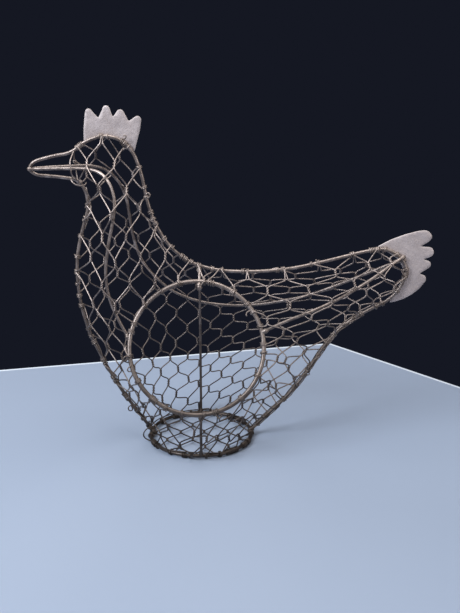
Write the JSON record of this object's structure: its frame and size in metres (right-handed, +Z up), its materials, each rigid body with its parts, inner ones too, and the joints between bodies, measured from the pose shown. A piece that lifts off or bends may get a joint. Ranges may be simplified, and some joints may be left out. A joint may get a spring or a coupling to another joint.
{
  "type": "wire egg basket",
  "caption": "Hen-shaped basket of bent wire and hexagonal netting with a round side opening, a base ring, and sheet metal comb and tail, for eggs or small produce.",
  "frame": {"origin": "centre of the base ring, on the surface that the basket stands on", "axes": "+X from the beak to the tail, -Y out of the round egg opening, +Z up"},
  "size_m": [0.3643, 0.1292, 0.3098],
  "materials": {
    "frame_wire": "matt taupe-brown paint, worn lighter on the upper sides",
    "net_wire": "matt taupe-brown paint over twisted netting wire",
    "wrap_wire": "matt taupe-brown paint over wound wire ends",
    "sheet_plate": "matt mauve-grey speckled paint on sheet metal with lighter cut edges"
  },
  "bodies": {
    "root": {"base_ring": "frame_wire", "base_wraps": "wrap_wire", "breast_wraps": "wrap_wire", "comb_plate": "sheet_plate", "far_body_net": "net_wire", "far_neck_net": "net_wire", "far_rib": "frame_wire", "far_tail_net": "net_wire", "floor_net": "net_wire", "hoop_wraps": "wrap_wire", "lower_rib": "frame_wire", "near_back_net": "net_wire", "near_neck_net": "net_wire", "near_skirt_net": "net_wire", "near_tail_net": "net_wire", "opening_hoop": "frame_wire", "profile_wire": "frame_wire", "rear_side_wire": "frame_wire", "side_wire": "frame_wire", "spine_wraps": "wrap_wire", "tail_plate": "sheet_plate", "under_tail_wraps": "wrap_wire", "upper_rib": "frame_wire"}
  },
  "joints": []
}
